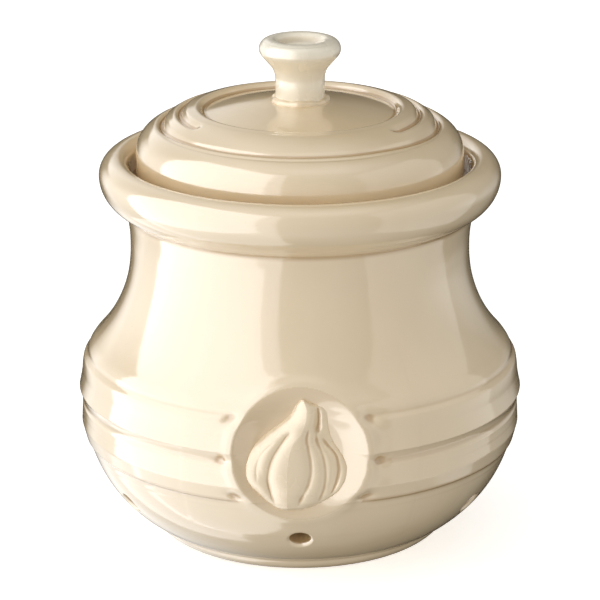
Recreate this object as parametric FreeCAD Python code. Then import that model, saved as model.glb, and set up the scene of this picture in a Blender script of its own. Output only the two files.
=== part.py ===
"""A glazed stoneware garlic keeper: a vented pot with a rolled rim, and a lift-off lid with a luted-on knob.

Millimetres. +Z is up and the garlic medallion faces -Y. The origin is the centre of the base, on the
surface that the pot stands on. Every turned piece is an outline of corners, each with its rounding,
spun about an axis.
"""
import FreeCAD, Part

import math
import os

from FreeCAD import Placement, Rotation, Vector

# Pot, from the foot up
foot_inset = 21.8  # how far the foot ring stands in from the belly
foot_height = 4.5
foot_lean = 2.2  # the ring's outer wall leans out by this much over its height
foot_width = 9.5  # the ring that the pot stands on
foot_hollow = 2.0  # depth of the hollow under the pot, inside the ring
foot_outer_round = 7.5
foot_inner_round = 0.9
base_thickness = 6.0
wall = 5.5

belly_radius = 64.2
belly_corner_height = 15.6  # where the line rising from the foot would meet the belly's upright
belly_round = 39.6
inside_round = 30.0  # the bowl of the floor, inside

shoulder_rise = 39.5  # from the belly's corner up to the shoulder's
shoulder_round = 8.0
inside_shoulder_round = 4.0
slope_rise = 15.6  # the shoulder's slope, from the belly's upright to the neck's
neck_inset = 14.3  # how far the neck stands in from the belly
neck_round = 46.5
neck_length = 21.0  # upright of the neck, from the foot of the slope line to the flare
flare_rise = 6.3
flare_lean = 1.0
flare_round = 40.0

# Rolled rim, and the gallery inside it that carries the lid
roll_overhang = 7.8  # how far the roll stands out from the top of the neck
roll_under_rise = 4.9
roll_under_round = 10.1
roll_height = 16.0  # from the neck's top to the crest
roll_outer_round = 5.4
roll_inner_round = 3.3
gallery_width = 5.6  # ledge under the lid
gallery_depth = 10.8  # from the crest down to the ledge
gallery_round = 0.6

# Two raised bands round the belly: (height of the lower edge, height of the upper edge, how proud)
bands = [(29.6, 39.8, 0.65), (40.2, 49.2, 1.65)]
band_edge = 3.0  # height of each band's steep lower edge
band_soft = 5.9  # height of each band's soft upper edge
band_round = 4.0

# Round medallion in the belly
medallion_height = 43.2
medallion_tilt = 5.0  # degrees, looking up
recess_radius = 19.5
recess_depth = 5.7  # from the belly's surface to the flat floor
recess_round = 3.5
collar_width = 2.8
collar_proud = 2.1
collar_below = 10.5  # the collar is at its proudest from this far below the medallion's centre
collar_above = 8.8  # to this far above it
collar_reach = 21.6  # and it sinks into the pot this far above and below the centre
collar_sink = 4.0  # how much lower than the belly it ends
bulb_margin = 0.3
bulb_sink = 0.2  # the bulb's crown lies this far inside the belly's surface

# Air vents
vent_count = 6
vent_height = 16.0
vent_diameter = 5.8
vent_round = 1.2

# Lid
lid_gap = 2.1  # all round, between the lid and the rim
lid_edge_round = 0.8
lid_shoulder_round = 8.0
# Heights on the lid's top, above the ledge that it rests on
lid_wall_height = 17.0
outer_groove_height = 20.3
plain_band_low = 21.9
plain_band_high = 23.7
ring_low = 24.6
ring_high = 25.6
dome_edge_height = 22.6
lid_height = 27.0  # the flat under the knob
flange_gap = 0.8
flange_depth = 7.0
flange_thickness = 4.2
flange_round = 1.2
ceiling_height = 16.0  # underside of the lid at the flange, above the ledge
ceiling_round = 9.0
lid_thickness = 6.0  # at the centre
outer_groove_radius = 40.2
inner_groove_radius = 34.8
groove_width = 2.6
groove_depth = 0.9
groove_round = 0.5
band_edge_round = 2.0
ring_inner_radius = 28.0
ring_round = 1.6
dome_flat_radius = 11.5
dome_round = 18.0

# Knob and the slip that lutes it to the lid
knob_neck_radius = 7.2
knob_radius = 13.3
knob_neck_height = 7.8
knob_flare_height = 8.2
knob_height = 18.3
knob_flare_round = 6.0
knob_edge_round = 3.3
knob_top_radius = 9.9
knob_lip_width = 2.2
knob_lip_round = 1.5
knob_dish_depth = 1.9
bead_gap = 0.15
bead_width = 1.4
bead_height = 1.7

# The garlic bulb's cross-sections from root to tip, in shares of its reach:
# (height, centre across, half width, thickness as a share of the full thickness)
bulb_sections = [
    (-0.990, -0.15, 0.13, 0.36),
    (-0.880, -0.14, 0.42, 0.66),
    (-0.700, -0.09, 0.71, 0.88),
    (-0.480, -0.07, 0.86, 0.98),
    (-0.220, -0.05, 0.88, 1.00),
    (0.040, -0.05, 0.80, 0.96),
    (0.270, -0.03, 0.62, 0.86),
    (0.460, 0.02, 0.43, 0.74),
    (0.640, 0.08, 0.32, 0.64),
    (0.820, 0.12, 0.24, 0.54),
    (0.965, 0.08, 0.11, 0.36),
]
# Where the cloves meet across a section, from its left edge (-1) to its right edge (1)
clove_grooves = [-0.53, -0.10, 0.27, 0.60, 0.88]
clove_groove_width = 0.085  # shares of the half width
clove_groove_depth = 0.22  # share of the thickness
bulb_fullness = 0.75  # below 1, a section is fuller at its sides than a sine curve
bulb_section_points = 49

# Sizes that follow
foot_radius = belly_radius - foot_inset
base_top = foot_hollow + base_thickness
neck_radius = belly_radius - neck_inset
shoulder_height = belly_corner_height + shoulder_rise
slope_top = shoulder_height + slope_rise
neck_top_radius = neck_radius + flare_lean
neck_top = slope_top + neck_length + flare_rise
rim_radius = neck_top_radius + roll_overhang
rim_top = neck_top + roll_height
bore_radius = neck_radius - wall
mouth_radius = bore_radius + gallery_width
ledge = rim_top - gallery_depth
recess_floor = belly_radius - recess_depth
medallion = Placement(
    Vector(0, -recess_floor, medallion_height), Rotation(Vector(1, 0, 0), 90 - medallion_tilt)
)

lid_radius = mouth_radius - lid_gap
flange_radius = bore_radius - flange_gap
lid_top = ledge + lid_height
knob_top = lid_top + knob_height

TINY = 1e-6


def rounded_wire(corners):
    """A closed wire through (across, up, rounding) corners in the XZ plane: sides joined by tangent arcs.

    Roundings that would overrun a side shrink together until they share it.
    """
    points = [Vector(across, 0, up) for across, up, _ in corners]
    places = range(len(points))
    sides = [points[(i + 1) % len(points)] - points[i] for i in places]
    headings = [Vector(side).normalize() for side in sides]
    half_turns = [headings[i - 1].getAngle(headings[i]) / 2 for i in places]
    wanted = [corners[i][2] * math.tan(half_turns[i]) for i in places]

    def share(i):
        taken = wanted[i] + wanted[(i + 1) % len(points)]
        return min(1.0, sides[i].Length / taken) if taken > TINY else 1.0

    edges = []
    reaches = [wanted[i] * min(share(i - 1), share(i)) for i in places]
    last = points[-1] + headings[-1] * reaches[-1]
    for i in places:
        start = points[i] - headings[i - 1] * reaches[i]
        end = points[i] + headings[i] * reaches[i]
        if (start - last).Length > TINY:
            edges.append(Part.LineSegment(last, start).toShape())
        if reaches[i] > TINY:
            radius = reaches[i] / math.tan(half_turns[i])
            inward = (headings[i] - headings[i - 1]).normalize()
            middle = points[i] + inward * (radius / math.cos(half_turns[i]) - radius)
            edges.append(Part.Arc(start, middle, end).toShape())
        last = end
    return Part.Wire(edges)


def spun(corners):
    """The solid that a closed outline sweeps about the Z axis."""
    return Part.Face(rounded_wire(corners)).revolve(Vector(0, 0, 0), Vector(0, 0, 1), 360)


def spun_at(corners, placement):
    """A spun solid whose own Z axis is turned and moved by a placement."""
    solid = spun(corners)
    solid.Placement = placement
    return solid


def pot_outside():
    """The pot as if it were solid, from its foot ring to the crest and gallery of its rim."""
    return spun([
        (0, foot_hollow, 0),
        (foot_radius - foot_width, foot_hollow, foot_inner_round),
        (foot_radius - foot_width, 0, foot_inner_round),
        (foot_radius, 0, foot_outer_round),
        (foot_radius + foot_lean, foot_height, 0),
        (belly_radius, belly_corner_height, belly_round),
        (belly_radius, shoulder_height, shoulder_round),
        (neck_radius, slope_top, neck_round),
        (neck_radius, slope_top + neck_length, flare_round),
        (neck_top_radius, neck_top, 0),
        (rim_radius, neck_top + roll_under_rise, roll_under_round),
        (rim_radius, rim_top, roll_outer_round),
        (mouth_radius, rim_top, roll_inner_round),
        (mouth_radius, ledge, gallery_round),
        (0, ledge, 0),
    ])


def band(low, high, proud):
    """One raised band: steep along its lower edge, soft along its upper one."""
    root = belly_radius - wall / 2
    crest = belly_radius + proud
    return spun([
        (root, low, 0),
        (belly_radius - proud, low, 0),
        (crest, low + band_edge, band_round),
        (crest, high - band_soft, 2 * band_round),
        (belly_radius, high, 0),
        (root, high, 0),
    ])


def collar():
    """The raised ring round the medallion, level with the bands at its sides."""
    crest = belly_radius + collar_proud
    end = belly_radius - collar_sink
    low = medallion_height - collar_reach
    high = medallion_height + collar_reach
    swell = spun([
        (0, low, 0),
        (end, low, 0),
        (crest, medallion_height - collar_below, 2 * band_round),
        (crest, medallion_height + collar_above, 2 * band_round),
        (end - collar_width, high, 0),
        (0, high, 0),
    ])
    disc = Part.makeCylinder(recess_radius + collar_width, belly_radius)
    disc.Placement = medallion
    return swell.common(disc)


def cavity():
    """The pot's inside, less the swelling behind the medallion that keeps the wall's thickness there."""
    slope_angle = math.atan2(neck_inset, slope_rise)
    drop = wall * math.tan(slope_angle / 2)
    hollow = spun([
        (0, base_top, 0),
        (belly_radius - wall, base_top, inside_round),
        (belly_radius - wall, shoulder_height - drop, inside_shoulder_round),
        (bore_radius, slope_top - drop, neck_round + wall),
        (bore_radius, ledge, 0),
        (0, ledge, 0),
    ])
    backing = spun_at([
        (0, -wall, 0),
        (recess_radius, -wall, wall),
        (recess_radius + wall, recess_depth, 0),
        (0, recess_depth, 0),
    ], medallion)
    return hollow.cut(backing)


def recess():
    """What the medallion's round recess takes out of the belly."""
    outside = 2 * recess_depth + collar_proud
    return spun_at([
        (0, 0, 0),
        (recess_radius, 0, recess_round),
        (recess_radius, outside, 0),
        (0, outside, 0),
    ], medallion)


def vents():
    """Round holes square to the belly's curve, with softened mouths, evenly spaced from the front."""
    belly_centre = belly_radius - belly_round
    foot_run = belly_radius - foot_radius - foot_lean
    foot_rise = belly_corner_height - foot_height
    turn = math.atan2(foot_run, foot_rise)
    curve_height = belly_corner_height + belly_round * math.tan(turn / 2)
    fall = math.asin((curve_height - vent_height) / belly_round)
    mouth = Vector(0, -belly_centre - belly_round * math.cos(fall), vent_height)
    radius = vent_diameter / 2
    hole = spun_at([
        (0, -2 * wall, 0),
        (radius, -2 * wall, 0),
        (radius, 0, vent_round),
        (radius + 2 * vent_round, 0, 0),
        (radius + 2 * vent_round, wall, 0),
        (0, wall, 0),
    ], Placement(mouth, Rotation(Vector(1, 0, 0), 90 + math.degrees(fall))))
    holes = []
    for i in range(vent_count):
        copy = hole.copy()
        copy.rotate(Vector(0, 0, 0), Vector(0, 0, 1), 360.0 * i / vent_count)
        holes.append(copy)
    return holes


def pot():
    raised = [band(*sizes) for sizes in bands] + [collar()]
    return pot_outside().fuse(raised).cut([cavity(), recess()] + vents()).removeSplitter()


def bulb_section(height, centre, half_width, thickness):
    """One closed cross-section of the bulb, lobed over its cloves and flat on its back."""
    reach = recess_radius - recess_round - bulb_margin
    full = recess_depth - bulb_sink
    up = height * reach
    points = []
    for i in range(bulb_section_points):
        angle = math.pi * i / (bulb_section_points - 1)
        across = -math.cos(angle)
        groove = max(math.exp(-(((across - g) / clove_groove_width) ** 2)) for g in clove_grooves)
        relief = thickness * full * math.sin(angle) ** bulb_fullness * (1 - clove_groove_depth * groove)
        points.append(Vector((centre + half_width * across) * reach, up, relief))
    lobes = Part.BSplineCurve()
    lobes.interpolate(points)
    return Part.Wire([lobes.toShape(), Part.LineSegment(points[-1], points[0]).toShape()])


def garlic_relief():
    """A garlic bulb in relief, its flat back on the recess's floor."""
    bulb = Part.makeLoft([bulb_section(*row) for row in bulb_sections], True, False)
    bulb.Placement = medallion
    return bulb


def lid():
    """The lid, seated on the gallery by its edge and centred in the neck by its flange."""
    flange_end = ledge - flange_depth
    bore = flange_radius - flange_thickness
    half = groove_width / 2
    return spun([
        (0, lid_top, 0),
        (dome_flat_radius, lid_top, dome_round),
        (ring_inner_radius, ledge + dome_edge_height, groove_round),
        (ring_inner_radius + half, ledge + ring_high, ring_round),
        (inner_groove_radius - half, ledge + ring_low, band_edge_round),
        (inner_groove_radius, ledge + plain_band_high - groove_depth, groove_round),
        (inner_groove_radius + half, ledge + plain_band_high, band_edge_round),
        (outer_groove_radius - half, ledge + plain_band_low, band_edge_round),
        (outer_groove_radius, ledge + outer_groove_height - groove_depth, groove_round),
        (outer_groove_radius + half, ledge + outer_groove_height, band_edge_round),
        (lid_radius, ledge + lid_wall_height, lid_shoulder_round),
        (lid_radius, ledge, lid_edge_round),
        (flange_radius, ledge, 0),
        (flange_radius, flange_end, flange_round),
        (bore, flange_end, flange_round),
        (bore, ledge + ceiling_height, ceiling_round),
        (0, lid_top - lid_thickness, 0),
    ])


def knob():
    """The turned knob, with a waisted neck and a dished top."""
    flare = lid_top + knob_neck_height
    return spun([
        (0, lid_top, 0),
        (knob_neck_radius, lid_top, 0),
        (knob_neck_radius, flare, knob_flare_round),
        (knob_radius, flare + knob_flare_height, knob_edge_round),
        (knob_top_radius, knob_top, knob_edge_round),
        (knob_top_radius - knob_lip_width, knob_top, knob_lip_round),
        (knob_neck_radius - knob_lip_width, knob_top - knob_dish_depth, knob_flare_round),
        (0, knob_top - knob_dish_depth, 0),
    ])


def slip_bead():
    """The roll of slip that squeezed out round the knob's foot."""
    inner = knob_neck_radius + bead_gap
    return spun([
        (inner, lid_top, 0),
        (inner + bead_width, lid_top, bead_width / 3),
        (inner + bead_width, lid_top + bead_height / 2, bead_width),
        (inner, lid_top + bead_height, 0),
    ])


pieces = {
    "pot": pot,
    "garlic_relief": garlic_relief,
    "lid": lid,
    "knob": knob,
    "slip_bead": slip_bead,
}

os.makedirs("parts", exist_ok=True)
for name, make in pieces.items():
    shape = make()
    shape.exportStep(os.path.join("parts", name + ".step"))
    print(name, len(shape.Solids), "solid", round(shape.Volume / 1000, 2), "cm3", shape.isValid())
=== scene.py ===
"""The glazed looks of the garlic keeper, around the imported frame.

Outlines and positions are in millimetres, as on a potter's drawing, and become metres where meshes are
made. +Z is up, the medallion faces -Y, and the origin is the centre of the base.
"""

import math

import bmesh
import bpy
import numpy as np
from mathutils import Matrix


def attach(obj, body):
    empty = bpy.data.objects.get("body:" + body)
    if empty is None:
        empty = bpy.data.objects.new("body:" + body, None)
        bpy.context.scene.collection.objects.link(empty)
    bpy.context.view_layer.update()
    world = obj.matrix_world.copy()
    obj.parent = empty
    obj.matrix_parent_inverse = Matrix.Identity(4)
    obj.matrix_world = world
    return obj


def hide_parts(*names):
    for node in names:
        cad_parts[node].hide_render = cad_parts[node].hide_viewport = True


MM = 0.001
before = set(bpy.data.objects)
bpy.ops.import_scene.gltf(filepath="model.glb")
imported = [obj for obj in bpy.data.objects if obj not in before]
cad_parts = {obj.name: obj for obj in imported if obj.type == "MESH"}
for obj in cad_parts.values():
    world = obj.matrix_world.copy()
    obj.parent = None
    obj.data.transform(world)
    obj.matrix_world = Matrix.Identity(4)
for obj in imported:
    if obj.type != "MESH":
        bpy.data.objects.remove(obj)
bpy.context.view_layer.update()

# Pot outline
FOOT_RADIUS = 42.4
FOOT_HOLLOW = 2.0
FOOT_INNER = 32.9
BELLY = 64.2
BELLY_CORNER = 15.6
BELLY_ROUND = 39.6
BELLY_CENTRE = (BELLY - BELLY_ROUND, BELLY_CORNER + 23.1)  # of the lower belly's curve; the vents aim at it
SHOULDER = 55.1
SLOPE_TOP = 70.7
NECK = 49.9
NECK_END = 91.7
NECK_TOP = 98.0
NECK_TOP_RADIUS = 50.9
RIM = 58.7
RIM_TOP = 114.0
MOUTH = 50.0
LEDGE = 103.2
BORE = 44.4
WALL = 5.5
FLOOR_TOP = 8.0
POT_WOBBLE = 0.11
WOBBLE_INSET = 0.16  # how far the uneven wall is drawn in, to stay inside the CAD outline

# Raised bands: lower edge, upper edge, how proud, and where a crease ends the slope above, if one does
BANDS = [(29.6, 39.8, 0.65, None), (40.2, 49.2, 1.50, 54.4)]
BAND_BLEND = 1.1  # how widely a band runs into the belly
BANDED = (26, 58)  # the heights that the bands lie between
CREASE = 54.9  # the middle of the shallow groove along the crease
CREASE_DEPTH = 0.35
CREASE_WIDTH = 0.9

# Medallion: its plane leans back a little, and depth is measured outwards from the floor of the dish
MEDALLION_HEIGHT = 43.2
MEDALLION_TILT = math.radians(5.0)
TILT_COS, TILT_SIN = math.cos(MEDALLION_TILT), math.sin(MEDALLION_TILT)
MEDALLION_SPAN = (17, 72)  # the heights that it lies between
MEDALLION_SIDE = -0.85  # the sine of the bearing is below this where it lies
DISH_FLOOR = 58.5
DISH_RADIUS = 19.3
COLLAR_RADIUS = 22.3
COLLAR_PROUD = 1.05
COLLAR_BLEND = 1.3  # how widely the collar runs into the belly
NOTCH_HEIGHTS = (30.8, 41.6, 53.6)  # where the grooves meet the collar
NOTCH_DEPTH = 1.1
NOTCH_SIZE = (2.0, 1.5)  # across the collar's ring, and in height

# Vents
VENT_BEARINGS = [-90.0 + 60.0 * i for i in range(6)]
VENT_HEIGHT = 16.0
VENT_RADIUS = 2.9
VENT_LIP = 1.2
VENT_PATCH = 5.4  # half the width of the patch of grid round a mouth
VENT_ROWS = 9  # grid rows from the patch's middle to its edge
VENT_RING = 6  # the patch's ring that the mouth starts from
VENT_SHADE_START = 1.2  # radians round the lip from which the vent's inside is painted dark, as painted shade

# The pot's grid, finer across the medallion: degrees from +X towards +Y, and their steps
GRID_START, FINE_END = -114, -66
FINE_STEP, COARSE_STEP = 0.3, 0.6

# Painted shade and gathered glaze along the grooves by (height, how much), and painted shade inside the dish
GROOVE_POOL_AND_SHADE = [(29.5, 0.18), (41.5, 0.14), (CREASE, 0.08)]
GROOVE_POOL_AND_SHADE_WIDTH = 0.8
DISH_SHADE = 0.10
BEND_PASSES = 14  # how often the measured bend, which sets gathered glaze and painted shade, is evened out

# Lid and knob
LID_RADIUS = 47.9
LID_TOP = 130.2
DOME_RADIUS = 105.0
CAP_FLAT = 9.0  # radius of the flat under the knob
PANEL = (-54.0, 47.0)  # degrees from the front: the plain stretch of the lid's middle band
PANEL_INNER, PANEL_WIDTH = 31.5, 7.2  # the radius where it starts, and how wide it is
VALLEY, VALLEY_WIDTH = 40.2, 0.7  # radius and half width of the groove outside that band
KNOB_TOP = 148.5
KNOB_NECK = 7.2
KNOB_BRIM = 9.9  # where the head turns over into its top
LID_WOBBLE = 0.09


def ramp(low, high, value):
    """0 below low, 1 above high, and a smooth step between them."""
    t = np.clip((value - low) / (high - low), 0, 1)
    return t * t * (3 - 2 * t)


def bell(value, middle, width):
    """1 at the middle, fading smoothly on both sides over about the width."""
    return np.exp(-((value - middle) / width) ** 2)


def soft_max(a, b, blend):
    """The larger of two values, with the crease between them filled over about blend."""
    return 0.5 * (a + b + np.sqrt((a - b) ** 2 + blend * blend))


def full_turn(count):
    """Evenly spaced angles once round, in radians."""
    return np.linspace(0, 2 * math.pi, count, endpoint=False)


def rounded(corners, step):
    """Points (across, up) along an open outline of (across, up, rounding) corners, at most step apart."""
    spots = np.array([c[:2] for c in corners], float)
    sides = np.diff(spots, axis=0)
    lengths = np.linalg.norm(sides, axis=1)
    headings = sides / lengths[:, None]
    last = len(spots) - 1
    half_turn = np.zeros(last + 1)
    wanted = np.zeros(last + 1)
    for i in range(1, last):
        half_turn[i] = math.acos(np.clip(headings[i - 1] @ headings[i], -1, 1)) / 2
        wanted[i] = corners[i][2] * math.tan(half_turn[i])
    share = [min(1.0, lengths[i] / max(wanted[i] + wanted[i + 1], 1e-9)) for i in range(last)]
    path = [spots[0]]
    for i in range(1, last):
        reach = wanted[i] * min(share[i - 1], share[i])
        if reach < 1e-6:
            path.append(spots[i])
            continue
        radius = reach / math.tan(half_turn[i])
        inward = headings[i] - headings[i - 1]
        centre = spots[i] + inward / np.linalg.norm(inward) * radius / math.cos(half_turn[i])
        start = spots[i] - headings[i - 1] * reach - centre
        end = spots[i] + headings[i] * reach - centre
        turn = math.atan2(start[0] * end[1] - start[1] * end[0], start @ end)
        first = math.atan2(start[1], start[0])
        count = max(3, int(abs(turn) * radius / step) + 1)
        for angle in first + np.linspace(0, turn, count + 1):
            path.append(centre + radius * np.array([math.cos(angle), math.sin(angle)]))
    path.append(spots[last])
    return even(np.array(path), step)


def along(path):
    """Distance from the start to each point of a path."""
    return np.concatenate([[0], np.cumsum(np.linalg.norm(np.diff(path, axis=0), axis=1))])


def even(path, step):
    """The same path with long straights divided, so that no two points are more than step apart."""
    out = [path[0]]
    for a, b in zip(path[:-1], path[1:]):
        count = max(1, math.ceil(np.linalg.norm(b - a) / step))
        out.extend(a + (b - a) * k / count for k in range(1, count + 1))
    return np.array(out)


def radius_at(up, path):
    """The radius of a rising path at each height, and 0 beyond its ends."""
    return np.interp(up, path[:, 1], path[:, 0], left=0, right=0)


def wobble(turn, up, scale):
    """The slow unevenness of thrown and cast ware, in mm, from the angle (radians) and the height (mm)."""
    return scale * (
        0.50 * np.sin(2 * turn + 0.021 * up + 0.7)
        + 0.34 * np.sin(3 * turn - 0.060 * up + 2.1)
        + 0.20 * np.sin(7 * turn + 0.110 * up + 0.4)
        + 0.12 * np.sin(13 * turn - 0.170 * up + 1.3)
        + 0.10 * np.sin(0.55 * up + 1.7 * np.sin(turn))
    )


def gathering_and_shade(mesh):
    """Where glaze gathers and shade is painted: above 0 in grooves, below 0 on edges. The surface's bend in
    1/mm, evened out.
    """
    spots = np.empty(len(mesh.vertices) * 3)
    mesh.vertices.foreach_get("co", spots)
    spots = spots.reshape(-1, 3) / MM
    normals = np.empty(len(spots) * 3)
    mesh.vertex_normals.foreach_get("vector", normals)
    normals = normals.reshape(-1, 3)
    ends = np.empty(len(mesh.edges) * 2, int)
    mesh.edges.foreach_get("vertices", ends)
    a, b = ends.reshape(-1, 2).T
    step = spots[b] - spots[a]
    span = np.maximum((step * step).sum(1), 0.01)
    bend = -((normals[b] - normals[a]) * step).sum(1) / span
    share = np.bincount(a, minlength=len(spots)) + np.bincount(b, minlength=len(spots))
    value = (np.bincount(a, bend, len(spots)) + np.bincount(b, bend, len(spots))) / share
    for _ in range(BEND_PASSES):
        near = np.bincount(a, value[b], len(spots)) + np.bincount(b, value[a], len(spots))
        value = 0.5 * value + 0.5 * near / share
    return value


def mesh_object(name, points, faces, body, material, nodes, pooled_and_shaded=None):
    """A smooth closed mesh that rides on a body and stands for CAD nodes.

    Points that no face uses are dropped. The last argument says how much gathered glaze and painted shade lies
    at each point at least.
    """
    mesh = bpy.data.meshes.new(name)
    mesh.from_pydata((np.asarray(points) * MM).tolist(), [], faces)
    filled = np.zeros(len(points), np.float32) if pooled_and_shaded is None else np.array(pooled_and_shaded, np.float32)
    mesh.attributes.new("pool_and_shade", "FLOAT", "POINT").data.foreach_set("value", filled)
    work = bmesh.new()
    work.from_mesh(mesh)
    loose = [v for v in work.verts if not v.link_faces]
    bmesh.ops.delete(work, geom=loose, context="VERTS")
    bmesh.ops.recalc_face_normals(work, faces=work.faces)
    work.to_mesh(mesh)
    work.free()
    mesh.polygons.foreach_set("use_smooth", [True] * len(mesh.polygons))
    mesh.update()
    layer = mesh.attributes["pool_and_shade"]
    filled = np.empty(len(mesh.vertices), np.float32)
    layer.data.foreach_get("value", filled)
    # Grooves and hollows, by the surface's bend, take gathered glaze and painted shade.
    layer.data.foreach_set("value", np.maximum(filled, gathering_and_shade(mesh)).astype(np.float32))
    mesh.materials.append(material)
    piece = bpy.data.objects.new(name, mesh)
    bpy.context.scene.collection.objects.link(piece)
    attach(piece, body)
    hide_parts(*nodes)


def wrapped(index):
    """Quads of a grid of point numbers whose last column joins its first."""
    right = np.roll(index, -1, axis=1)
    return np.stack([index[:-1], right[:-1], right[1:], index[1:]], -1)


def fan(centre, ring):
    """Triangles from a centre point to each side of a ring of points."""
    return [[centre, a, b] for a, b in zip(ring, np.roll(ring, -1))]


def spun(path, count, shape):
    """Points and faces of a closed body: a path from axis to axis, spun in count steps.

    shape(turn, radius, up) moves the rings' points and gives their new radius and height.
    """
    rows = len(path) - 2
    turn = np.tile(full_turn(count), (rows, 1))
    radius = np.repeat(path[1:-1, :1], count, axis=1)
    up = np.repeat(path[1:-1, 1:], count, axis=1)
    radius, up = shape(turn, radius, up)
    points = np.stack([radius * np.cos(turn), radius * np.sin(turn), up], -1).reshape(-1, 3)
    points = np.vstack([points, [0, 0, path[0, 1]], [0, 0, path[-1, 1]]])
    index = np.arange(rows * count).reshape(rows, count)
    faces = wrapped(index).reshape(-1, 4).tolist()
    faces += fan(rows * count, index[0]) + fan(rows * count + 1, index[-1])
    return points, faces


# --- Pot -------------------------------------------------------------------------------------------


def band_radius(up, low, high, proud, crease):
    """Radius of one raised band at each height: steep below and soft above, and under the belly outside.

    The slope above a band with a crease goes on as far as that.
    """
    crest = BELLY + proud
    corners = [
        (BELLY - proud - 6, low - 3, 0),
        (BELLY - proud, low, 0),
        (crest, low + 4.4, 6.5),
        (crest, high - 5.9, 8.0),
    ]
    if crease:
        corners += [
            (BELLY, high, 5.0),
            (BELLY - 0.6, crease - 0.9, 1.0),
            (BELLY - 2.4, crease + 0.2, 0),
            (BELLY - 8, crease + 2.2, 0),
        ]
    else:
        corners += [(BELLY, high, 0), (BELLY - 6, high + 3, 0)]
    return radius_at(up, rounded(corners, 0.2))


def collar_radius(up):
    """Radius of the raised ring round the medallion, proud at the bands and sinking above and below them."""
    crest, end = BELLY + COLLAR_PROUD, BELLY - 5.0
    return radius_at(up, rounded([
        (end - 12, MEDALLION_HEIGHT - 27, 0),
        (end, MEDALLION_HEIGHT - 21.6, 8.0),
        (crest, MEDALLION_HEIGHT - 10.5, 12.0),
        (crest, MEDALLION_HEIGHT + 8.8, 12.0),
        (end - 3.4, MEDALLION_HEIGHT + 21.6, 8.0),
        (end - 16, MEDALLION_HEIGHT + 29, 0),
    ], 0.3))


def pot_outline():
    """The pot's outline, from the middle of its underside, over the rim, to the middle of its floor.

    Also gives the number of the highest point, where the outside ends.
    """
    inner_drop = WALL * math.tan(math.atan2(BELLY - NECK, SLOPE_TOP - SHOULDER) / 2)
    path = rounded([
        (0, FOOT_HOLLOW, 0),
        (FOOT_INNER, FOOT_HOLLOW, 0.9),
        (FOOT_INNER, 0, 0.9),
        (FOOT_RADIUS, 0, 7.5),
        (FOOT_RADIUS + 2.2, 4.5, 0),
        (BELLY, BELLY_CORNER, BELLY_ROUND),
        (BELLY, SHOULDER, 15.0),
        (NECK, SLOPE_TOP, 46.5),
        (NECK, NECK_END, 40.0),
        (NECK_TOP_RADIUS, NECK_TOP, 1.2),
        (RIM, NECK_TOP + 4.9, 10.1),
        (RIM, RIM_TOP, 5.4),
        (MOUTH, RIM_TOP, 3.3),
        (MOUTH, LEDGE, 0.6),
        (BORE, LEDGE, 0.5),
        (BORE, SLOPE_TOP - inner_drop, 52.0),
        (BELLY - WALL, SHOULDER - inner_drop, 4.0),
        (BELLY - WALL, FLOOR_TOP, 30.0),
        (0, FLOOR_TOP, 0),
    ], 0.1)
    crest = int(np.argmax(path[:, 1]))
    outside = path[:crest]
    belly = (outside[:, 1] > BANDED[0]) & (outside[:, 1] < BANDED[1])
    for band in BANDS:
        raised = band_radius(outside[belly, 1], *band)
        outside[belly, 0] = soft_max(outside[belly, 0], raised, BAND_BLEND)
    outside[belly, 0] -= CREASE_DEPTH * bell(outside[belly, 1], CREASE, CREASE_WIDTH)
    return path, crest


def to_medallion(x, y, up):
    """A place across, up and out from the medallion's plane."""
    back, rise = y + DISH_FLOOR, up - MEDALLION_HEIGHT
    return x, back * TILT_SIN + rise * TILT_COS, -back * TILT_COS + rise * TILT_SIN


def from_medallion(across, along_up, out):
    """The x, y and height of a place across, up and out from the medallion's plane."""
    y = -DISH_FLOOR + along_up * TILT_SIN - out * TILT_COS
    return across, y, MEDALLION_HEIGHT + along_up * TILT_COS + out * TILT_SIN


def dish_share(spread):
    """The dish's depth profile: 0 at its middle and 1 from its rim outwards."""
    t = spread / DISH_RADIUS
    bowl = 0.48 * t ** 2.3 + 0.52 * np.clip((t - 0.62) / 0.38, 0, None) ** 1.6
    return -soft_max(-bowl, -1.0, 0.05)


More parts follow.
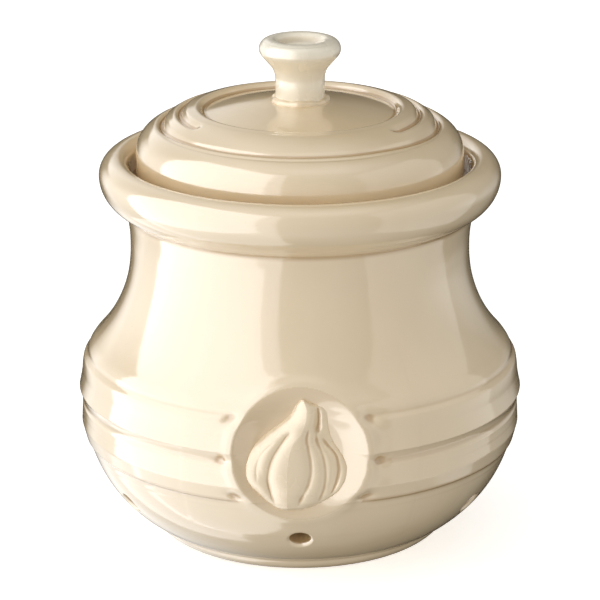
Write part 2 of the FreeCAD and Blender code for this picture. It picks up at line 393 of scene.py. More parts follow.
class Pot:
    """The pot's surface: a point of it for any angle and any distance along its outline."""

    def __init__(self):
        self.path, crest = pot_outline()
        self.run = along(self.path)
        self.crest_run = self.run[crest]
        self.ledge_run = self.crest_run + (RIM_TOP - LEDGE) + (RIM - BORE)
        foot = int(np.argmax(self.path[:, 1] < 0.01))
        self.foot_run = self.run[foot]
        self.out_up, self.out_run = self.path[foot:crest, 1], self.run[foot:crest]
        self.vent_run = self.run_at(VENT_HEIGHT)
        radius, up = self.outline(self.vent_run)
        self.vent_rise = math.atan2(BELLY_CENTRE[1] - up, radius - BELLY_CENTRE[0])
        inward = np.array([-math.cos(self.vent_rise), math.sin(self.vent_rise)])
        off = self.path[crest:] - [radius, up]
        aside = np.abs(off[:, 0] * inward[1] - off[:, 1] * inward[0])
        aside[(off @ inward < 0) | (off @ inward > 3 * WALL)] = np.inf
        self.vent_inner_run = self.run[crest + int(np.argmin(aside))]

    def run_at(self, up):
        """Distance along the outline to a height on the outside."""
        return float(np.interp(up, self.out_up, self.out_run))

    def outline(self, run):
        """Radius and height at a distance along the outline."""
        return np.interp(run, self.run, self.path[:, 0]), np.interp(run, self.run, self.path[:, 1])

    def dish_level(self, across, along_up):
        """How far out from the medallion's plane the dish's surface lies."""
        out = np.full(np.shape(across), 5.0)
        for _ in range(5):  # it settles within these rounds
            up = from_medallion(across, along_up, out)[2]
            belly = np.interp(np.interp(up, self.out_up, self.out_run), self.run, self.path[:, 0])
            radius = soft_max(belly, collar_radius(up), COLLAR_BLEND)
            out = (np.sqrt(radius ** 2 - across ** 2) - DISH_FLOOR + along_up * TILT_SIN) / TILT_COS
        return out * dish_share(np.hypot(across, along_up))

    def point(self, turn, run):
        """The surface's points, with the unevenness of the ware, the bands, the collar and the dish."""
        turn, run = np.broadcast_arrays(np.asarray(turn, float), np.asarray(run, float))
        radius, up = self.outline(run)
        outer = run < self.crest_run
        uneven = (1 - ramp(RIM_TOP - 16, RIM_TOP - 4, up)) * ramp(0, 12, up)
        radius = radius + np.where(outer, uneven * (wobble(turn, up, POT_WOBBLE) - WOBBLE_INSET), 0)

        # The collar, with a notch wherever a groove meets it
        low, high = MEDALLION_SPAN
        front = (np.sin(turn) < MEDALLION_SIDE) & (up > low) & (up < high)
        x, y = radius * np.cos(turn), radius * np.sin(turn)
        across, along_up, out = to_medallion(x, y, up)
        spread = np.hypot(across, along_up)
        raised = collar_radius(up) - 5 * ramp(COLLAR_RADIUS - 2.0, COLLAR_RADIUS + 4.0, spread)
        ring_width, notch_height = NOTCH_SIZE
        groove = sum(bell(up, at, notch_height) for at in NOTCH_HEIGHTS)
        notch = NOTCH_DEPTH * groove * bell(spread, COLLAR_RADIUS - 0.3, ring_width)
        notch = notch * ramp(12, 16, np.abs(across))
        radius = np.where(front & outer, soft_max(radius, raised, COLLAR_BLEND) - notch, radius)

        # The dish, and inside the pot the wall that is pushed in behind it
        x, y = radius * np.cos(turn), radius * np.sin(turn)
        across, along_up, out = to_medallion(x, y, up)
        spread = np.hypot(across, along_up)
        dished = np.where(spread < DISH_RADIUS + 1, out * dish_share(spread), out)
        limit = -WALL + 11 * np.clip((spread - DISH_RADIUS + 1.5) / 7.5, 0, 1) ** 1.4
        backed = -soft_max(-out, -limit, 0.8)
        shift = np.where(front, np.where(outer, dished, backed) - out, 0)
        return np.stack([x, y - shift * TILT_COS, up + shift * TILT_SIN], -1)


def grid_rows(pot):
    """Distances along the outline of the rows of the pot's grid, closest where there is most form."""
    fine = VENT_PATCH / VENT_ROWS
    rows = [0.0]
    for end, step in (
        (30.0, 4.0),
        (pot.foot_run, 0.3),
        (pot.vent_run - VENT_PATCH, 0.5),
        (pot.vent_run, fine),
        (pot.vent_run + VENT_PATCH, fine),
        (pot.run_at(66), 0.33),
        (pot.run_at(96), 1.1),
        (pot.ledge_run, 0.4),
        (pot.vent_inner_run - VENT_PATCH, 1.3),
        (pot.vent_inner_run, fine),
        (pot.vent_inner_run + VENT_PATCH, fine),
        (pot.run[-1], 2.0),
    ):
        count = max(1, round((end - rows[-1]) / step))
        rows.extend(np.linspace(rows[-1], end, count + 1)[1:].tolist())
    return np.array(rows[1:-1])


def shape_mouths(pot, rows, degrees, turn_grid, run_grid):
    """Bend the pot's grid into rings round both mouths of each vent.

    Gives which cells lie inside a mouth, and for each vent its angle and its two loops of point numbers.
    """
    open_cells = np.zeros((len(rows) - 1, len(degrees)), bool)
    vents = []
    for bearing in VENT_BEARINGS:
        angle = math.radians(bearing)
        column = int(np.argmin(np.abs(degrees - bearing)))
        # Columns from the patch's middle to its side: twice as many where the grid is finer
        half = 2 * VENT_ROWS if bearing < FINE_END else VENT_ROWS
        cut = half * VENT_RING // VENT_ROWS
        a, b = np.mgrid[-VENT_ROWS:VENT_ROWS + 1, -half:half + 1]
        ring = np.maximum(np.abs(a) / VENT_ROWS, np.abs(b) / half)
        first = VENT_RING / VENT_ROWS
        part = np.clip((ring - first) / (1 - first), 0, 1)
        wide = VENT_RADIUS + VENT_LIP + (VENT_PATCH - VENT_RADIUS - VENT_LIP) * part
        walk = [(-VENT_RING, c) for c in range(-cut, cut)]
        walk += [(r, cut) for r in range(-VENT_RING, VENT_RING)]
        walk += [(VENT_RING, -c) for c in range(-cut, cut)]
        walk += [(-r, -cut) for r in range(-VENT_RING, VENT_RING)]
        loops = []
        for run, way in ((pot.vent_run, 1), (pot.vent_inner_run, -1)):
            row = int(np.argmin(np.abs(rows - run)))
            reach = pot.outline(run)[0]
            grid = np.ix_(np.arange(row - VENT_ROWS, row + VENT_ROWS + 1),
                          np.arange(column - half, column + half + 1))
            rise = run_grid[grid] - run
            side = (turn_grid[grid] - angle) * reach
            heading = np.arctan2(rise, side)
            side = (1 - part) * wide * np.cos(heading) + part * side
            rise = (1 - part) * wide * np.sin(heading) + part * rise
            turn_grid[grid] = angle + side / reach
            run_grid[grid] = run + rise
            open_cells[row - VENT_RING:row + VENT_RING, column - cut:column + cut] = True
            loops.append([(row + way * r) * len(degrees) + column + c for r, c in walk])
        vents.append((angle, loops))
    return open_cells, vents


def line_vent(pot, angle, loops, heading, count):
    """The rounded lips and the wall of one vent, between the loops of its two mouths.

    heading is the direction to each point of the loops from the vent's middle, and count is how many
    points the pot has so far. Gives new points, how much painted shade lies at them, and faces.
    """
    level = math.cos(pot.vent_rise)
    outward = np.array([level * math.cos(angle), level * math.sin(angle), -math.sin(pot.vent_rise)])
    steps = [(t, pot.vent_run, 1) for t in np.radians([15, 30, 45, 60, 75, 90])]
    steps += [(t, pot.vent_inner_run, -1) for t in np.radians([90, 70, 50, 30, 15])]
    points, pooled_and_shaded, rings = [], [], [loops[0]]
    for t, run, way in steps:
        wide = VENT_RADIUS + VENT_LIP * (1 - math.sin(t))
        deep = VENT_LIP * (1 - math.cos(t))
        reach = pot.outline(run)[0]
        lying = pot.point(angle + wide * np.cos(heading) / reach, run + way * wide * np.sin(heading))
        rings.append(list(range(count + len(points), count + len(points) + len(heading))))
        points.extend(lying - way * deep * outward)
        # Deep inside the vent the glaze is painted dark, as painted shade.
        pooled_and_shaded += [1.0 if t > VENT_SHADE_START else 0.0] * len(heading)
    rings.append(loops[1])
    faces = []
    for near, far in zip(rings[:-1], rings[1:]):
        faces += [list(q) for q in zip(near, near[1:] + near[:1], far[1:] + far[:1], far)]
    return points, pooled_and_shaded, faces


def groove_and_dish_shade(points):
    """How much gathered glaze and painted shade lie along the pot's grooves, and how much painted shade inside
    the dish.
    """
    x, y, up = points.T
    across, along_up, _ = to_medallion(x, y, up)
    spread = np.hypot(across, along_up)
    in_dish = (y < 0) & (spread < DISH_RADIUS)
    grooved = ((spread > COLLAR_RADIUS) | (y > 0)) & (np.hypot(x, y) > BELLY - 0.8 * WALL)
    line = sum(deep * bell(up, at, GROOVE_POOL_AND_SHADE_WIDTH) for at, deep in GROOVE_POOL_AND_SHADE)
    # Painted shade inside the dish, and gathered glaze with painted shade along the grooves.
    return np.where(in_dish, DISH_SHADE, grooved * line)


def make_pot(pot, material):
    """The pot as one closed grid, with a round hole bridged through it at each vent."""
    degrees = np.concatenate([
        np.arange(GRID_START, FINE_END, FINE_STEP),
        np.arange(FINE_END, GRID_START + 360, COARSE_STEP),
    ])
    rows = grid_rows(pot)
    turn_grid = np.tile(np.radians(degrees), (len(rows), 1))
    run_grid = np.repeat(rows[:, None], len(degrees), axis=1)
    open_cells, vents = shape_mouths(pot, rows, degrees, turn_grid, run_grid)

    points = pot.point(turn_grid, run_grid).reshape(-1, 3)
    points = np.vstack([points, [0, 0, FOOT_HOLLOW], [0, 0, FLOOR_TOP]])
    index = np.arange(turn_grid.size).reshape(turn_grid.shape)
    faces = wrapped(index)[~open_cells].tolist()
    faces += fan(len(points) - 2, index[0]) + fan(len(points) - 1, index[-1])
    pooled_and_shaded = groove_and_dish_shade(points)
    # The ledge and the lower mouth wall under the lid are painted dark, as painted shade in the gap.
    shaded_ledge = (rows > pot.crest_run + 0.9 * (RIM_TOP - LEDGE)) & (rows < pot.ledge_run + 1.0)
    pooled_and_shaded[index[shaded_ledge]] = 1.0

    reach = pot.outline(pot.vent_run)[0]
    for angle, loops in vents:
        outer = loops[0]
        heading = np.arctan2(run_grid.flat[outer] - pot.vent_run, (turn_grid.flat[outer] - angle) * reach)
        more, more_pooled_and_shaded, more_faces = line_vent(pot, angle, loops, heading, len(points))
        points = np.vstack([points, more])
        pooled_and_shaded = np.concatenate([pooled_and_shaded, more_pooled_and_shaded])
        faces += more_faces
    mesh_object("pot_body", points, faces, "pot", material, ["pot"], pooled_and_shaded)


# --- Garlic relief: places across (-left, +right) and up from the medallion's centre -----------------

# (up, left edge, keel, right edge, rise above the dish), from root to tip
BULB = np.array([
    (-16.3, -4.6, -3.6, 0.4, 0.7),
    (-15.7, -6.3, -3.6, 2.4, 1.8),
    (-14.4, -8.3, -3.6, 5.4, 2.8),
    (-13.0, -10.0, -3.6, 7.8, 3.5),
    (-11.4, -11.7, -3.6, 10.1, 4.1),
    (-8.8, -14.0, -3.6, 12.1, 4.45),
    (-6.8, -15.1, -3.6, 12.9, 4.65),
    (-4.7, -15.4, -3.6, 13.2, 4.8),
    (-2.0, -15.0, -3.4, 12.7, 4.8),
    (1.0, -13.9, -2.8, 11.0, 4.7),
    (3.8, -11.8, -1.6, 9.4, 4.5),
    (6.0, -9.4, 0.1, 8.7, 4.1),
    (8.2, -6.4, 1.1, 8.4, 3.6),
    (10.3, -3.8, 1.7, 8.3, 3.1),
    (12.4, -2.1, 1.9, 7.8, 2.6),
    (13.6, -1.5, 1.8, 6.6, 2.3),
    (14.6, -0.8, 1.5, 4.0, 1.8),
    (15.4, -0.2, 1.1, 2.2, 1.3),
    (15.9, 0.3, 0.9, 1.4, 0.6),
])
# Lines across the bulb: (up, across) along each, from the root upwards
SEAMS = [
    [(-14.2, -7.2), (-9.9, -8.4), (-7.2, -8.9), (-3.9, -8.6), (-0.6, -7.5), (2.7, -5.6), (6.4, -3.0)],
    [(-14.2, -0.4), (-11.6, 0.8), (-8.8, 2.2), (-5.5, 3.0), (-2.0, 3.0), (1.6, 2.4), (4.9, 1.9), (7.6, 2.4)],
    [(-13.4, 5.4), (-9.4, 6.8), (-6.1, 7.2), (-2.8, 7.0), (0.5, 6.2), (3.8, 4.8), (6.0, 4.5), (9.0, 4.7)],
    [(-11.4, 8.9), (-8.3, 10.1), (-5.5, 10.7), (-2.5, 10.6), (0.5, 9.6), (2.1, 8.0), (4.6, 6.2)],
]
FINE_SEAMS = [
    [(-10.6, 8.1), (-5.5, 8.9), (-1.0, 8.5), (1.6, 7.2)],
    [(-7.0, -12.2), (-2.5, -12.0), (1.0, -10.2), (3.4, -7.8)],
]
SLIT = [(6.8, 5.3), (9.0, 5.4), (11.5, 5.4), (13.8, 5.1)]
RELIEF_BACK = 0.5  # how far the relief's back lies under the dish's surface


def smooth_line(points, at):
    """A smooth curve through (place, value) points, and its slope, at the given places."""
    x, y = np.array(points, float).T
    slope = np.gradient(y, x)
    i = np.clip(np.searchsorted(x, at) - 1, 0, len(x) - 2)
    span = x[i + 1] - x[i]
    t = np.clip((at - x[i]) / span, 0, 1)
    value = ((2 * t ** 3 - 3 * t ** 2 + 1) * y[i] + (t ** 3 - 2 * t ** 2 + t) * span * slope[i]
             + (3 * t ** 2 - 2 * t ** 3) * y[i + 1] + (t ** 3 - t ** 2) * span * slope[i + 1])
    return value, slope[i] * (1 - t) + slope[i + 1] * t


def seam_depth(across, up, line, width, fade):
    """How strongly a seam cuts at each place: 1 along it, fading to its sides and ends."""
    middle, slope = smooth_line(line, up)
    off = (across - middle) / np.sqrt(1 + slope ** 2)
    start, end = line[0][0], line[-1][0]
    ends = ramp(start - fade, start + fade, up) * (1 - ramp(end - fade, end + fade, up))
    return ends * np.exp(-np.abs(off / width) ** 1.4)


def border(grid):
    """The point numbers round the edge of a grid, in order."""
    return np.concatenate([grid[0, :-1], grid[:-1, -1], grid[-1, :0:-1], grid[:0:-1, 0]])


def make_relief(pot, material):
    """The garlic bulb, rising out of the dish: steep at its edges, creased along its keel, and seamed."""
    up = np.concatenate([
        np.linspace(BULB[0, 0], -14.4, 12),
        np.linspace(-14.1, 13.4, 100),
        np.linspace(13.6, BULB[-1, 0], 16),
    ])
    left, keel, right, rise = (smooth_line(BULB[:, [0, k]], up)[0][:, None] for k in (1, 2, 3, 4))
    # Columns are closest at the edges. Both halves have one on the keel, which keeps its crease sharp.
    to_keel = 1 - np.sin(np.linspace(0, math.pi / 2, 60))[::-1]
    from_keel = 1 - (1 - np.cos(np.linspace(0, math.pi / 2, 72))[1:])[::-1]
    across = np.hstack([left + (keel - left) * to_keel, keel + (right - keel) * from_keel])
    # How much of the rise each column reaches
    flank_left = 0.70 * (1 - (1 - to_keel) ** 2.6) ** 0.85 + 0.30 * to_keel
    flank_right = (1 - from_keel ** 2.3) ** (0.72 + 1.0 * ramp(0, 10, up[:, None]))
    share = np.hstack([np.tile(flank_left, (len(up), 1)), flank_right])
    tall = np.repeat(up[:, None], across.shape[1], axis=1)
    cut = np.zeros_like(across)
    for line in SEAMS:
        narrow = 0.38 * seam_depth(across, tall, line, 0.95, 1.8)
        cut += narrow + 0.34 * seam_depth(across, tall, line, 2.2, 2.6)
    for line in FINE_SEAMS:
        cut += 0.10 * seam_depth(across, tall, line, 0.35, 1.5)
    height = rise * share - cut * np.minimum(1, share * rise / 1.6)
    height *= 1 - 0.6 * seam_depth(across, tall, SLIT, 0.9, 1.4)
    floor = pot.dish_level(across, tall)
    # The front is sunk a little into the dish, and deeper along its very edge
    front = floor + np.maximum(height, 0) - 0.12 - 0.30 * (1 - ramp(0, 0.08, share))
    sheets = [np.stack(from_medallion(across, tall, out), -1) for out in (front, floor - RELIEF_BACK)]
    points = np.vstack([sheet.reshape(-1, 3) for sheet in sheets])
    top = np.arange(across.size).reshape(across.shape)
    under = top + across.size
    faces = []
    for grid, turned in ((top, False), (under, True)):
        quads = np.stack([grid[:-1, :-1], grid[:-1, 1:], grid[1:, 1:], grid[1:, :-1]], -1).reshape(-1, 4)
        faces += (quads[:, ::-1] if turned else quads).tolist()
    upper, lower = border(top), border(under)
    faces += np.stack([upper, np.roll(upper, -1), np.roll(lower, -1), lower], -1).tolist()
    mesh_object("garlic_bulb", points, faces, "pot", material, ["garlic_relief"])


# --- Lid ---------------------------------------------------------------------------------------------


def cap_height(radius):
    """Height of the lid's dome."""
    return LID_TOP - (radius * radius - CAP_FLAT * CAP_FLAT) / (2 * DOME_RADIUS)


def shape_lid(turn, radius, up):
    """Smooth the grooves away along the front panel, and add the unevenness of the ware."""
    start, end = PANEL
    facing = np.degrees(np.arctan2(np.cos(turn), -np.sin(turn)))
    panel = ramp(start - 7, start, facing) * (1 - ramp(end, end + 7, facing))
    beside = ramp(start - 40, start + 20, facing) * (1 - ramp(end - 20, end + 40, facing))
    past = ramp(38.4, 38.8, radius)
    inner_share = panel * ramp(PANEL_INNER, PANEL_INNER + 1.3, radius) * (1 - past)
    share = inner_share + beside * past * (1 - ramp(VALLEY + 1, VALLEY + 2, radius))
    way = np.clip((radius - PANEL_INNER) / PANEL_WIDTH, 0, 1)
    plain = LEDGE + 25.1 - 3.1 * way + 1.6 * way * (1 - way)
    plain = plain - 0.6 * np.maximum(radius - 38.7, 0) - 0.5 * bell(radius, VALLEY, VALLEY_WIDTH)
    top = (up > LEDGE + 17) & (radius > 20)
    up = up + np.where(top, share * (plain - up), 0)
    outside = ramp(18, 30, radius) * (up > LEDGE + 1)
    wider = outside * wobble(turn, up + 40, LID_WOBBLE)
    return radius + wider, up + top * 0.6 * wobble(turn + 2, radius, LID_WOBBLE) * outside


def make_lid(material):
    """The lid with its dome, its rings, and the flange underneath."""
    path = rounded([
        (0, LID_TOP, 0),
        (CAP_FLAT, LID_TOP, 3.0),
        *[(r, cap_height(r), 0) for r in np.arange(10.5, 27.0, 1.0)],
        (28.0, cap_height(28.0), 0.5),
        (29.6, LEDGE + 25.5, 1.8),
        (33.5, LEDGE + 24.6, 2.0),
        (34.8, LEDGE + 22.2, 0.7),
        (36.1, LEDGE + 23.7, 2.0),
        (38.9, LEDGE + 21.9, 2.0),
        (VALLEY, LEDGE + 18.9, 0.7),
        (41.6, LEDGE + 20.3, 2.5),
        (LID_RADIUS, LEDGE + 17.1, 11.0),
        (LID_RADIUS, LEDGE, 0.8),
        (BORE - 0.8, LEDGE, 0.3),
        (BORE - 0.8, LEDGE - 7.0, 1.2),
        (BORE - 5.0, LEDGE - 7.0, 1.2),
        (BORE - 5.0, LEDGE + 16.0, 9.0),
        (0, LID_TOP - 6.0, 0),
    ], 0.12)
    run = along(path)
    # Closest over the rings, which start 24 mm along the outline, and down to the lid's edge
    rings, edge = 24, run[int(np.argmax(path[:, 0] > LID_RADIUS - 0.01))]
    stations = np.concatenate([
        np.linspace(0, rings, 20)[:-1],
        np.arange(rings, edge, 0.22),
        np.linspace(edge, run[-1], 110),
    ])
    path = np.stack([np.interp(stations, run, path[:, 0]), np.interp(stations, run, path[:, 1])], -1)
    points, faces = spun(path, 480, shape_lid)
    mesh_object("lid_body", points, faces, "lid", material, ["lid"])


# --- Knob and the slip at its foot -------------------------------------------------------------------


def shape_knob(turn, radius, up):
    """Add the unevenness of the turned knob."""
    return radius + 0.6 * wobble(turn + 1, 3 * up, LID_WOBBLE) * ramp(3, 9, radius), up


def make_knob(material):
    """The turned knob: waisted, flared, and dished on top."""
    flare = LID_TOP + 7.8
    path = rounded([
        (0, LID_TOP - 0.3, 0),
        (KNOB_NECK, LID_TOP - 0.3, 0.05),
        (KNOB_NECK, flare + 1.1, 6.5),
        (13.3, flare + 8.2, 3.3),
        (KNOB_BRIM, KNOB_TOP, 3.3),
        (KNOB_BRIM - 2.2, KNOB_TOP, 1.5),
        (KNOB_NECK - 2.2, KNOB_TOP - 1.9, 6.0),
        (0, KNOB_TOP - 1.9, 0),
    ], 0.35)
    points, faces = spun(path, 200, shape_knob)
    mesh_object("knob_body", points, faces, "lid", material, ["knob"])


def make_bead(material):
    """The smear of slip round the knob's foot, thicker and thinner by turns."""
    count, section = 220, 15
    turn = full_turn(count)
    lumps = 0.5 + 0.28 * np.sin(3 * turn + 0.5) + 0.2 * np.sin(5 * turn + 2.0) + 0.14 * np.sin(11 * turn + 1.1)
    wide = 1.25 + 0.55 * lumps
    tall = 1.05 + 0.75 * lumps
    # Its section is a quarter round, closed underneath, where it is sunk a little into the lid
    swing = np.linspace(0, math.pi / 2, section - 2)
    across = np.concatenate([np.sin(swing) ** 0.85, [1.0, 0.0]])
    rise = np.concatenate([np.cos(swing) ** 0.8, [0.0, 0.0]])
    sink = np.concatenate([np.zeros(section - 2), [0.25, 0.25]])
    radius = 7.0 + np.outer(across, wide)
    up = LID_TOP + np.outer(rise, tall) - sink[:, None]
    points = np.stack([radius * np.cos(turn), radius * np.sin(turn), up], -1).reshape(-1, 3)
    index = np.arange(section * count).reshape(section, count)
    faces = wrapped(np.vstack([index, index[:1]])).reshape(-1, 4).tolist()
    mesh_object("slip_roll", points, faces, "lid", material, ["slip_bead"])


# --- Materials: lengths in metres --------------------------------------------------------------------

SPECK = (0.36, 0.24, 0.12, 1)
BISCUIT = [(0.62, 0.50, 0.36, 1), (0.44, 0.33, 0.22, 1)]


def fill(tree, value, socket):
    """Give a socket a value, or the output of another node."""
    if isinstance(value, bpy.types.NodeSocket):
        tree.links.new(value, socket)
    else:
        socket.default_value = value


def map_range(tree, value, low, high, to_low, to_high, interpolation):
    """A Map Range node's result."""
    node = tree.nodes.new("ShaderNodeMapRange")
    node.interpolation_type = interpolation
    fill(tree, value, node.inputs["Value"])
    for key, number in (("From Min", low), ("From Max", high), ("To Min", to_low), ("To Max", to_high)):
        node.inputs[key].default_value = number
    return node.outputs["Result"]


def combine(tree, operation, a, b):
    """A Math node's result."""
    node = tree.nodes.new("ShaderNodeMath")
    node.operation = operation
    fill(tree, a, node.inputs[0])
    fill(tree, b, node.inputs[1])
    return node.outputs[0]


class Nodes:
    """A material's node tree, with short calls for the nodes that the glazes use."""

    def __init__(self, name):
        self.material = bpy.data.materials.new(name)
        self.material.use_nodes = True
        self.tree = self.material.node_tree
        self.shader = self.tree.nodes["Principled BSDF"].inputs
        self.place = self.add("ShaderNodeTexCoord").outputs["Object"]

    def add(self, kind, **values):
        node = self.tree.nodes.new(kind)
        for key, value in values.items():
            setattr(node, key, value)
        return node

    def fill(self, value, socket):
        fill(self.tree, value, socket)

    def noise(self, scale, detail=3.0, place=None):
        node = self.add("ShaderNodeTexNoise")
        self.fill(self.place if place is None else place, node.inputs["Vector"])
        node.inputs["Scale"].default_value = scale
        node.inputs["Detail"].default_value = detail
        return node.outputs["Fac"]

    def stretched(self, x, y, z):
        node = self.add("ShaderNodeMapping")
        self.fill(self.place, node.inputs["Vector"])
        node.inputs["Scale"].default_value = (x, y, z)
        return node.outputs["Vector"]

    def spread(self, value, low, high, to_low=0.0, to_high=1.0):
        return map_range(self.tree, value, low, high, to_low, to_high, "SMOOTHSTEP")

    def mix(self, share, a, b):
        node = self.add("ShaderNodeMix", data_type="RGBA")
        self.fill(share, node.inputs[0])
        self.fill(a, node.inputs[6])
        self.fill(b, node.inputs[7])
        return node.outputs[2]

    def math(self, operation, a, b):
        return combine(self.tree, operation, a, b)

    def bump(self, height, strength, distance, normal=None):
        node = self.add("ShaderNodeBump")
        node.inputs["Strength"].default_value = strength
        node.inputs["Distance"].default_value = distance
        self.fill(height, node.inputs["Height"])
        if normal is not None:
            self.fill(normal, node.inputs["Normal"])
        return node.outputs["Normal"]


def glaze(name, body, thin, pooled_and_shaded, gloss, bare_foot=False):
    """Glossy cream glaze: paler where it runs thin on edges, and darker in grooves and hollows, where it
    gathers and where shade is painted.

    With bare_foot, the ring that the pot stands on is bare biscuit.
    """
    nodes = Nodes(name)
    pool_and_shade = nodes.add("ShaderNodeAttribute", attribute_type="GEOMETRY", attribute_name="pool_and_shade").outputs["Fac"]
    dull = [c * 0.955 for c in body[:3]] + [1]
    colour = nodes.mix(nodes.spread(nodes.noise(22.0, 4.0), 0.35, 0.65), body, dull)
    streaks = nodes.noise(30.0, 3.0, nodes.stretched(1.0, 1.0, 0.18))
    colour = nodes.mix(nodes.spread(streaks, 0.45, 0.75, 0.0, 0.35), colour, thin)
    colour = nodes.mix(nodes.spread(pool_and_shade, -0.04, -0.48, 0.0, 0.75), colour, thin)
    # Darker with gathered glaze and painted shade in grooves and hollows, and with painted shade in the dish,
    # the vents and under the lid.
    colour = nodes.mix(nodes.spread(pool_and_shade, 0.01, 0.24, 0.0, 0.95), colour, pooled_and_shaded)
    specks = nodes.spread(nodes.noise(1100.0, 2.0), 0.735, 0.80, 0.0, 0.45)
    specks = nodes.math("MULTIPLY", specks, nodes.spread(nodes.noise(60.0), 0.5, 0.7))
    colour = nodes.mix(specks, colour, SPECK)
    skin = nodes.spread(nodes.noise(260.0, 2.0), 0.2, 0.8)
    waves = nodes.spread(nodes.noise(75.0, 2.0, nodes.stretched(0.35, 0.35, 1.0)), 0.2, 0.8)
    normal = nodes.bump(waves, 0.22, 0.0004)
    normal = nodes.bump(skin, 0.10, 0.00012, normal)
    rough = nodes.spread(nodes.noise(120.0, 3.0), 0.3, 0.7, gloss, gloss + 0.05)
    if bare_foot:
        split = nodes.add("ShaderNodeSeparateXYZ")
        nodes.fill(nodes.place, split.inputs[0])
        uneven = nodes.spread(nodes.noise(90.0), 0.3, 0.7, -0.0002, 0.0002)
        bare = nodes.spread(nodes.math("ADD", split.outputs[2], uneven), 0.00045, 0.0002)
        grit = nodes.noise(1800.0, 4.0)
        colour = nodes.mix(bare, colour, nodes.mix(nodes.spread(grit, 0.35, 0.7), *BISCUIT))
        rough = nodes.math("MAXIMUM", rough, nodes.math("MULTIPLY", bare, 0.85))
        normal = nodes.bump(nodes.math("MULTIPLY", grit, bare), 0.6, 0.0002, normal)
    for key, value in {
        "Base Color": colour,
        "Roughness": rough,
        "Normal": normal,
        "IOR": 1.6,
        "Coat Weight": 0.6,
        "Coat Roughness": gloss * 0.6,
        "Coat IOR": 1.5,
    }.items():
        nodes.fill(value, nodes.shader[key])
    return nodes.material


# --- The object --------------------------------------------------------------------------------------

# Each glaze's own colour, its colour where thin, and its colour for gathered glaze and painted shade
CREAM = (0.76, 0.61, 0.40, 1), (0.82, 0.70, 0.50, 1), (0.50, 0.34, 0.17, 1)
HONEY = (0.76, 0.62, 0.42, 1), (0.80, 0.68, 0.48, 1), (0.46, 0.31, 0.15, 1)
# The knob's glaze is the pot's cream painted paler, as painted light for the brighter light on the knob.
PAINTED_LIGHT_CREAM = (0.90, 0.83, 0.68, 1), (0.93, 0.88, 0.76, 1), (0.62, 0.47, 0.28, 1)

cream = glaze("cream_glaze", *CREAM, gloss=0.10, bare_foot=True)
honey = glaze("honey_glaze", *HONEY, gloss=0.26)
painted_light_cream = glaze("cream_glaze_painted_lighter", *PAINTED_LIGHT_CREAM, gloss=0.24)
pot_shape = Pot()
make_pot(pot_shape, cream)
make_relief(pot_shape, honey)
make_lid(cream)
make_knob(painted_light_cream)
make_bead(honey)


# --- Floor, light and camera: lengths in metres ------------------------------------------------------

FLOOR_SIZE = 4.0
FLOOR_DROP = 0.0002  # keeps the floor clear of the foot ring
SKY_COLOUR = (1.0, 0.985, 0.96, 1)
SOFTBOX_REACH = 0.9  # from the pot's axis to each side of a softbox
# Name, bearings of the sides in degrees from straight ahead (-left, +right), lower and upper edge,
# radiance, colour, and whether it is seen in reflections or lights the diffuse surface
SOFTBOXES = [
    ("left_softbox", (-24, -109), (-0.45, 1.3), 1.9, (0.98, 0.96, 0.965), True),
    ("left_veil", (-13, -109), (-3.0, 1.3), 1.75, (0.98, 0.965, 0.96), True),
    ("low_veil", (-104, -135), (-3.0, -0.5), 1.2, (0.98, 0.965, 0.96), True),
    ("right_softbox", (45, 113), (-0.6, 1.0), 0.72, (1.0, 0.97, 0.93), True),
    ("front_fill", (-40, 50), (-1.3, -0.1), 0.18, (1.0, 0.98, 0.95), False),
    ("left_fill", (-20, -100), (-0.7, 1.1), 0.36, (1.0, 0.98, 0.95), False),
]
CAMERA_RAISED = math.radians(18.0)
CAMERA_REACH = 0.9284
CAMERA_AIM = 0.06922  # the height that it looks at, on the pot's axis


def make_floor():
    """A plain white table top with a faint grain, seen by the camera only."""
    mesh = bpy.data.meshes.new("floor")
    turn = full_turn(48)
    ring = np.stack([FLOOR_SIZE * np.cos(turn), FLOOR_SIZE * np.sin(turn), np.full(len(turn), -FLOOR_DROP)], -1)
    mesh.from_pydata(ring.tolist(), [], [list(range(len(turn)))])
    nodes = Nodes("white_table")
    grain = nodes.noise(180.0, 3.0)
    colour = nodes.mix(nodes.spread(grain, 0.3, 0.7), (0.90, 0.90, 0.90, 1), (0.93, 0.93, 0.93, 1))
    for key, value in {
        "Base Color": colour,
        "Normal": nodes.bump(grain, 0.05, 0.0002),
        "Roughness": 0.7,
        "Specular IOR Level": 0.1,
        "Emission Color": (1, 1, 1, 1),
        "Emission Strength": 0.5,
    }.items():
        nodes.fill(value, nodes.shader[key])
    mesh.materials.append(nodes.material)
    floor = bpy.data.objects.new("floor", mesh)
    bpy.context.scene.collection.objects.link(floor)
    floor.visible_glossy = False
    floor.visible_diffuse = False
    floor.visible_shadow = False


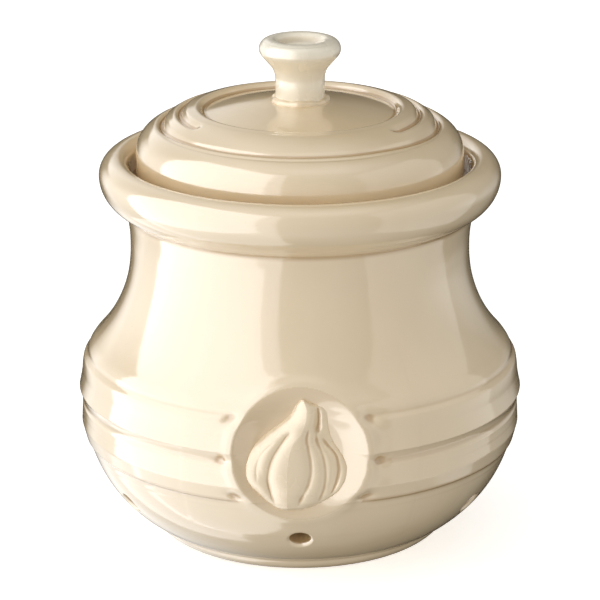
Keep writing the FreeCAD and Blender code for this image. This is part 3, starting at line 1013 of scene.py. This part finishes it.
def make_sky():
    """Soft and slightly warm light from all round, dimmer from below and from the right.

    Reflections show it with strengths of their own. In front it runs from bright on the left to dim on the
    right. Behind the pot it is bright on the left, dark in the middle, and glows a little on the right.
    """
    world = bpy.data.worlds.new("studio")
    bpy.context.scene.world = world
    world.use_nodes = True
    tree = world.node_tree
    split = tree.nodes.new("ShaderNodeSeparateXYZ")
    tree.links.new(tree.nodes.new("ShaderNodeTexCoord").outputs["Generated"], split.inputs[0])
    ray = tree.nodes.new("ShaderNodeLightPath").outputs
    background = tree.nodes["Background"].inputs
    right, behind, above = split.outputs

    def fade(direction, low, high, to_low, to_high):
        return map_range(tree, direction, low, high, to_low, to_high, "LINEAR")

    def times(first, *others):
        for other in others:
            first = combine(tree, "MULTIPLY", first, other)
        return first

    def plus(a, b):
        return combine(tree, "ADD", a, b)

    def mixed(share, a, b):
        node = tree.nodes.new("ShaderNodeMix")
        for value, socket in zip((share, a, b), (node.inputs[0], node.inputs[2], node.inputs[3])):
            fill(tree, value, socket)
        return node.outputs[0]

    soft = times(fade(above, -0.9, 0.5, 0.42, 0.78), fade(right, -1, 1, 1.18, 0.80))
    front = fade(right, -1, 1, 2.8, 0.6)
    back = times(
        fade(right, -0.32, 0.06, 2.0, 0.05),
        fade(above, -0.5, 0.0, 0.8, 1.0),
        fade(above, 0.1, 0.6, 1.0, 0.75),
    )
    far_left = fade(right, -0.9, -0.72, 0.7, 0.0)
    glow = times(
        fade(right, 0.3, 0.8, 0.0, 0.75),
        fade(above, -0.1, 0.15, 1.0, 0.5),
        fade(above, -0.36, -0.22, 0.2, 1.0),
    )
    back = plus(plus(back, far_left), glow)
    shine = mixed(fade(behind, -0.2, 0.4, 0.0, 1.0), front, back)
    shine = times(shine, fade(above, -1.0, -0.6, 0.35, 1.0))
    shine = plus(shine, fade(above, 0.75, 0.95, 0.0, 0.7))

    # A dark patch behind the pot, from a little above level downwards, but less far down on its left
    bottom = combine(tree, "MAXIMUM", fade(above, -0.5, -0.35, 0.0, 1.0), fade(right, -0.2, 0.1, 0.0, 1.0))
    sides = times(fade(right, -0.64, -0.42, 0.0, 1.0), fade(right, 0.4, 0.55, 1.0, 0.0))
    gloom = times(fade(above, 0.19, 0.24, 1.0, 0.0), bottom, sides, fade(behind, 0.2, 0.5, 0.0, 1.0))
    shine = times(shine, combine(tree, "SUBTRACT", 1.0, gloom))

    strength = mixed(ray["Is Camera Ray"], mixed(ray["Is Glossy Ray"], soft, shine), 1.0)
    fill(tree, strength, background["Strength"])
    fill(tree, SKY_COLOUR, background["Color"])


def softbox(name, bearings, edges, radiance, colour, glossy):
    """An upright rectangular softbox that faces the pot."""
    sides = [
        np.array([math.sin(math.radians(turn)), -math.cos(math.radians(turn))]) * SOFTBOX_REACH
        for turn in bearings
    ]
    low, high = edges
    centre, across = (sides[0] + sides[1]) / 2, sides[1] - sides[0]
    wide = float(np.linalg.norm(across))
    data = bpy.data.lights.new(name, "AREA")
    data.shape = "RECTANGLE"
    data.size, data.size_y = wide, high - low
    data.energy = radiance * math.pi * wide * (high - low)
    data.color = colour
    lamp = bpy.data.objects.new(name, data)
    bpy.context.scene.collection.objects.link(lamp)
    facing = math.atan2(-centre[1], -centre[0])
    if across @ np.array([-math.sin(facing), math.cos(facing)]) < 0:
        across = -across
    lamp.location = (centre[0], centre[1], (low + high) / 2)
    lamp.rotation_euler = (math.pi / 2, 0, math.atan2(across[1], across[0]) + math.pi)
    lamp.visible_camera = False
    lamp.visible_glossy = glossy
    lamp.visible_diffuse = not glossy


def make_camera():
    """The photograph's camera, a little above level and far off."""
    data = bpy.data.cameras.new("camera")
    data.sensor_width = 36.0
    data.lens = 188.18
    data.clip_end = 20.0
    camera = bpy.data.objects.new("camera", data)
    bpy.context.scene.collection.objects.link(camera)
    back, rise = CAMERA_REACH * math.cos(CAMERA_RAISED), CAMERA_REACH * math.sin(CAMERA_RAISED)
    camera.location = (0, -back, CAMERA_AIM + rise)
    camera.rotation_euler = (math.pi / 2 - CAMERA_RAISED, 0, 0)
    bpy.context.scene.camera = camera


make_floor()
make_sky()
for box in SOFTBOXES:
    softbox(*box)
make_camera()
bpy.context.scene.view_settings.view_transform = "Standard"
